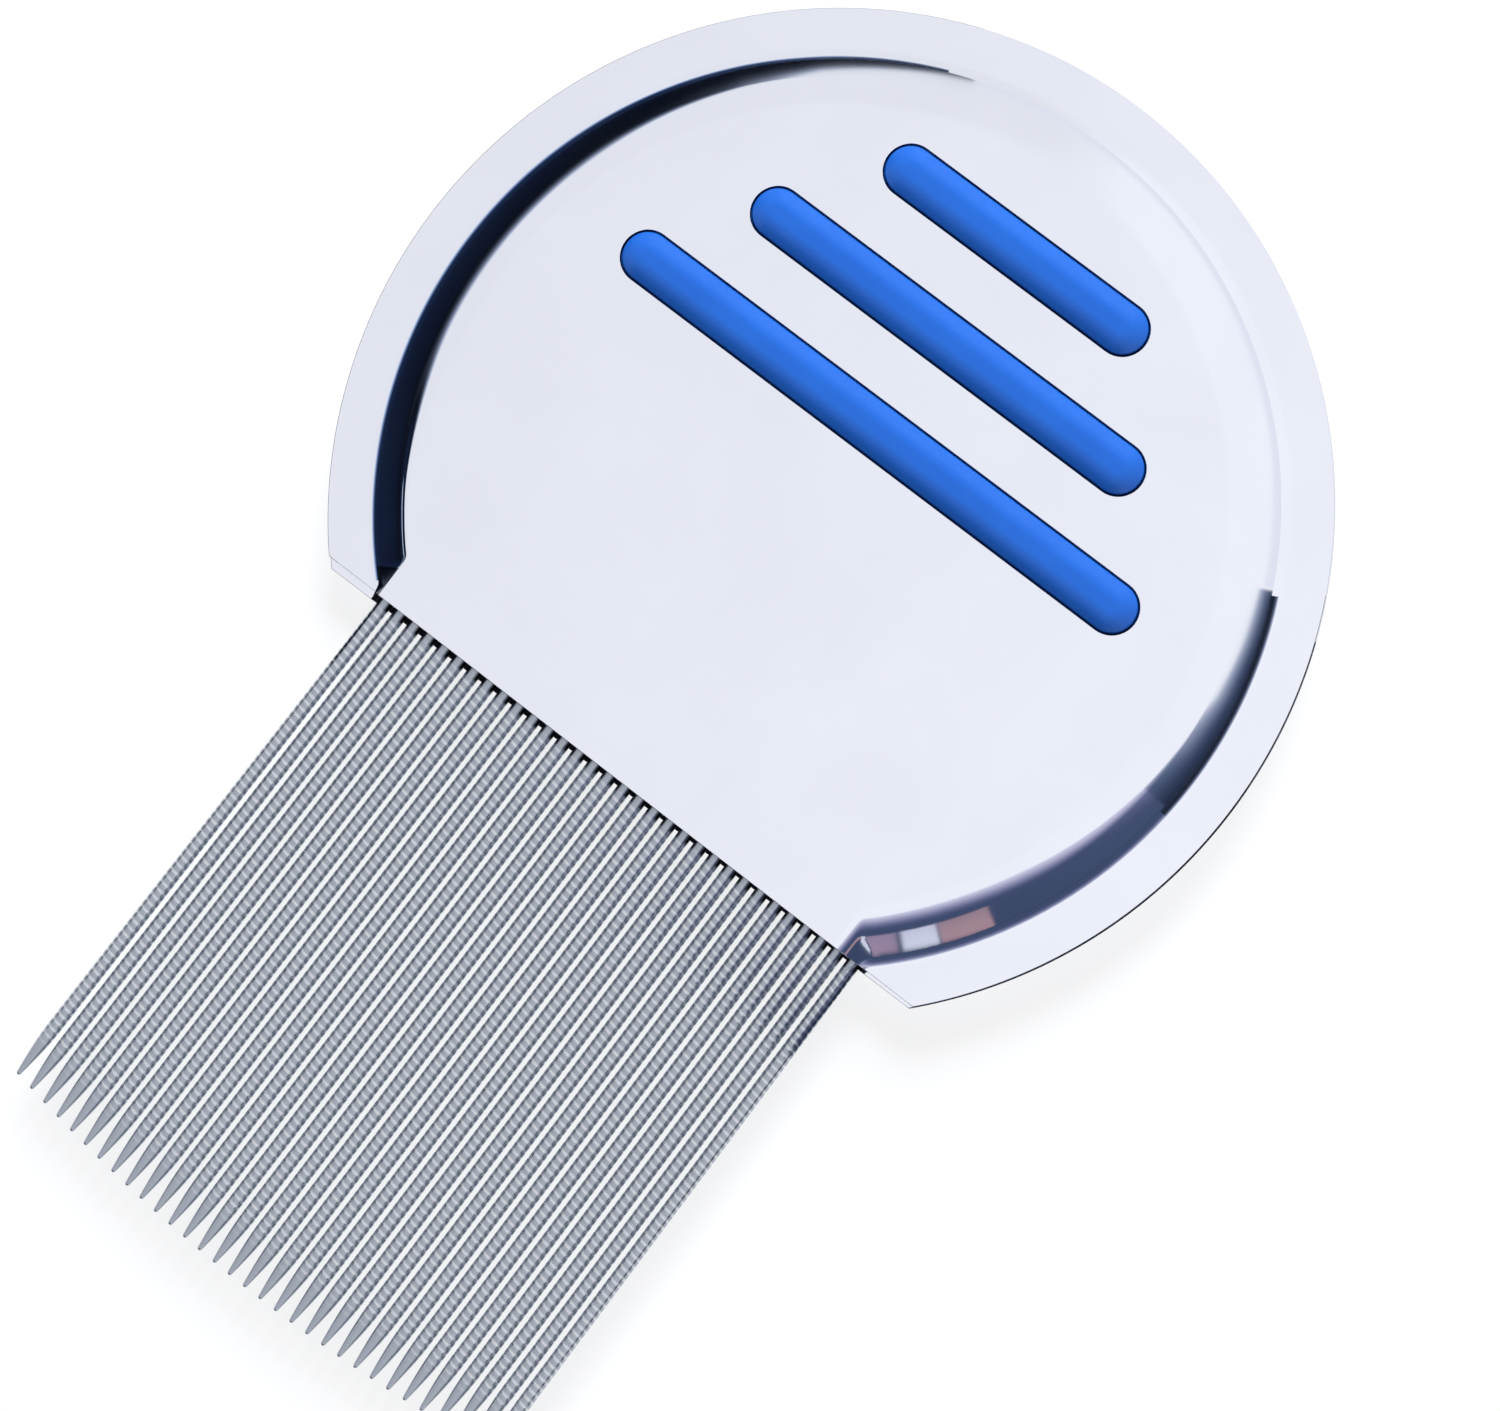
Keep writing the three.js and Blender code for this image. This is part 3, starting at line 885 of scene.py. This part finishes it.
def makeFloor():
    material, tree = newMaterial("paleStudioFloor")
    rays = addNode(tree, "ShaderNodeLightPath")
    seen = addNode(tree, "ShaderNodeMath", {
        0: rays.outputs["Is Camera Ray"], 1: rays.outputs["Is Glossy Ray"]}, operation="MAXIMUM")
    seen = addNode(tree, "ShaderNodeMath", {
        0: seen.outputs[0], 1: rays.outputs["Is Transmission Ray"]}, operation="MAXIMUM")
    level = addNode(tree, "ShaderNodeMath", {
        0: seen.outputs[0], 1: studio["floorGlow"]}, operation="MULTIPLY")
    paper = addNode(tree, "ShaderNodeBsdfDiffuse", {"Color": toLinear(studio["floorColour"])})
    glow = addNode(tree, "ShaderNodeEmission", {"Color": studio["white"], "Strength": level.outputs[0]})
    both = addNode(tree, "ShaderNodeAddShader", {0: paper.outputs[0], 1: glow.outputs[0]})
    finishMaterial(material, tree, both.outputs[0])
    half = studio["floorSize"] / 2
    mesh = bpy.data.meshes.new("floor")
    corners = [(-half, -half, 0), (half, -half, 0), (half, half, 0), (-half, half, 0)]
    mesh.from_pydata(corners, [], [(0, 1, 2, 3)])
    mesh.materials.append(material)
    floor = bpy.data.objects.new("floor", mesh)
    floor.location.z = cadBox[0].z
    bpy.context.scene.collection.objects.link(floor)


card = {
    "stride": 24,               # steps between two given heights
    "levels": 6,                # rows from the end of the dark part to the top
    "darkShare": 0.4,           # where the dark part ends in the tones
}


def makeFlag(name, settings):
    material, tree = newMaterial(name + "Card")
    height = addNode(tree, "ShaderNodeAttribute", attribute_name="heightShare")
    tones = addNode(tree, "ShaderNodeValToRGB", {"Fac": height.outputs["Fac"]})
    marks = tones.color_ramp.elements
    for share, _ in settings["tones"][1:-1]:
        marks.new(share)
    for mark, (share, colour) in zip(marks, settings["tones"]):
        mark.position = share
        mark.color = toLinear(colour)
    # the card glows with its tones: a painted reflection, not a lit card
    glow = addNode(tree, "ShaderNodeEmission", {"Color": tones.outputs["Color"]})
    finishMaterial(material, tree, glow.outputs[0])
    start, end = settings["azimuth"]
    tops = settings["tops"]
    darks = settings["darks"]
    feet = settings.get("feet", (settings.get("foot"),) * len(tops))
    stride, levels = card["stride"], card["levels"]
    steps = stride * (len(tops) - 1)
    distance = settings["distance"]
    points, shares, faces = [], [], []
    for i in range(steps + 1):
        angle = math.radians(between(start, end, i / steps))
        index = min(i // stride, len(tops) - 2)
        share = i / stride - index
        foot = between(feet[index], feet[index + 1], share)
        dark = between(darks[index], darks[index + 1], share)
        top = between(tops[index], tops[index + 1], share)
        for level in range(levels + 1):
            up = (level - 1) / (levels - 1)
            dx, dy = polar(settings.get("footDistance", distance) if level == 0 else distance, angle)
            height = foot if level == 0 else between(dark, top, up)
            points.append(middle + Vector((dx, dy, height)) * mm)
            shares.append(0.0 if level == 0 else between(card["darkShare"], 1.0, up))
            if i and level:
                last = len(points) - 1
                faces.append((last - levels - 2, last - levels - 1, last, last - 1))
    mesh = bpy.data.meshes.new(name)
    mesh.from_pydata(points, [], faces)
    mesh.attributes.new("heightShare", "FLOAT", "POINT").data.foreach_set("value", shares)
    mesh.materials.append(material)
    flag = bpy.data.objects.new(name, mesh)
    bpy.context.scene.collection.objects.link(flag)
    flag.visible_camera = False
    flag.visible_diffuse = False
    flag.visible_transmission = False
    flag.visible_shadow = False


def makeSoftbox():
    # it lights and shades the part; what the steel mirrors is the white room
    box = studio["softbox"]
    light = bpy.data.lights.new("softbox", "AREA")
    light.shape = "SQUARE"
    light.size = box["size"]
    light.energy = box["watts"]
    lamp = bpy.data.objects.new("softbox", light)
    back = Vector(box["from"]).normalized()
    lamp.location = middle + back * box["distance"]
    lamp.rotation_euler = back.to_track_quat("Z", "Y").to_euler()
    lamp.visible_glossy = False
    bpy.context.scene.collection.objects.link(lamp)


def makeWorld():
    # white to the camera and in the steel, a plain weaker white as light; light that has already come off a
    # dull surface keeps the weaker level, so that the steel doesn't throw extra light on the grip
    world = bpy.data.worlds.new("whiteStudio")
    world.use_nodes = True
    tree = world.node_tree
    tree.nodes.clear()
    rays = addNode(tree, "ShaderNodeLightPath")
    mirrored = addNode(tree, "ShaderNodeMath", {
        0: rays.outputs["Is Glossy Ray"], 1: rays.outputs["Is Transmission Ray"]}, operation="MAXIMUM")
    direct = addNode(tree, "ShaderNodeMath", {
        0: rays.outputs["Diffuse Depth"], 1: 0.5}, operation="LESS_THAN")
    clean = addNode(tree, "ShaderNodeMath", {
        0: mirrored.outputs[0], 1: direct.outputs[0]}, operation="MULTIPLY")
    place = addNode(tree, "ShaderNodeTexCoord").outputs["Generated"]
    toward = addNode(tree, "ShaderNodeSeparateXYZ", {"Vector": place})
    low, high = studio["roomFrom"]
    room = addNode(tree, "ShaderNodeMapRange", {
        "Value": toward.outputs["X"], "From Min": low, "From Max": high,
        "To Min": studio["roomDim"], "To Max": 1.0})
    level = addNode(tree, "ShaderNodeMix", {
        "Factor": clean.outputs[0], "A": studio["ambient"], "B": room.outputs["Result"]}, data_type="FLOAT")
    white = addNode(tree, "ShaderNodeMix", {
        "Factor": rays.outputs["Is Camera Ray"], "A": level.outputs[0], "B": 1.0}, data_type="FLOAT")
    background = addNode(tree, "ShaderNodeBackground", {
        "Color": studio["white"], "Strength": white.outputs[0]})
    addNode(tree, "ShaderNodeOutputWorld", {"Surface": background.outputs[0]})
    bpy.context.scene.world = world


makeFloor()
for name, settings in flags.items():
    makeFlag(name, settings)
makeSoftbox()
makeWorld()
print("studio made")


camera = {
    "distance": 429.2,
    "target": (3.95, -13.40, 0.0),
    "tiltRight": 10.10,        # degrees off overhead, towards the comb's right side
    "tiltUp": 0.40,
    "roll": 37.40,
    "lens": 156.2,
    "sensor": 36.0,
    "clips": (0.01, 20.0),     # metres
}


def makeCamera():
    data = bpy.data.cameras.new("camera")
    data.lens = camera["lens"]
    data.sensor_width = camera["sensor"]
    data.clip_start, data.clip_end = camera["clips"]
    tiltRight = math.radians(camera["tiltRight"])
    tiltUp = math.radians(camera["tiltUp"])
    roll = math.radians(camera["roll"])
    back = Vector((math.sin(tiltRight), math.sin(tiltUp) * math.cos(tiltRight),
                   math.cos(tiltUp) * math.cos(tiltRight))).normalized()
    across = Vector((0, 1, 0)).cross(back).normalized()
    upward = back.cross(across)
    right = across * math.cos(roll) + upward * math.sin(roll)
    up = upward * math.cos(roll) - across * math.sin(roll)
    viewer = bpy.data.objects.new("camera", data)
    viewer.matrix_world = Matrix((right, up, back)).transposed().to_4x4()
    viewer.location = middle + (Vector(camera["target"]) + back * camera["distance"]) * mm
    bpy.context.scene.collection.objects.link(viewer)
    bpy.context.scene.camera = viewer


makeCamera()
bpy.context.scene.view_settings.view_transform = "Standard"
print("camera made")
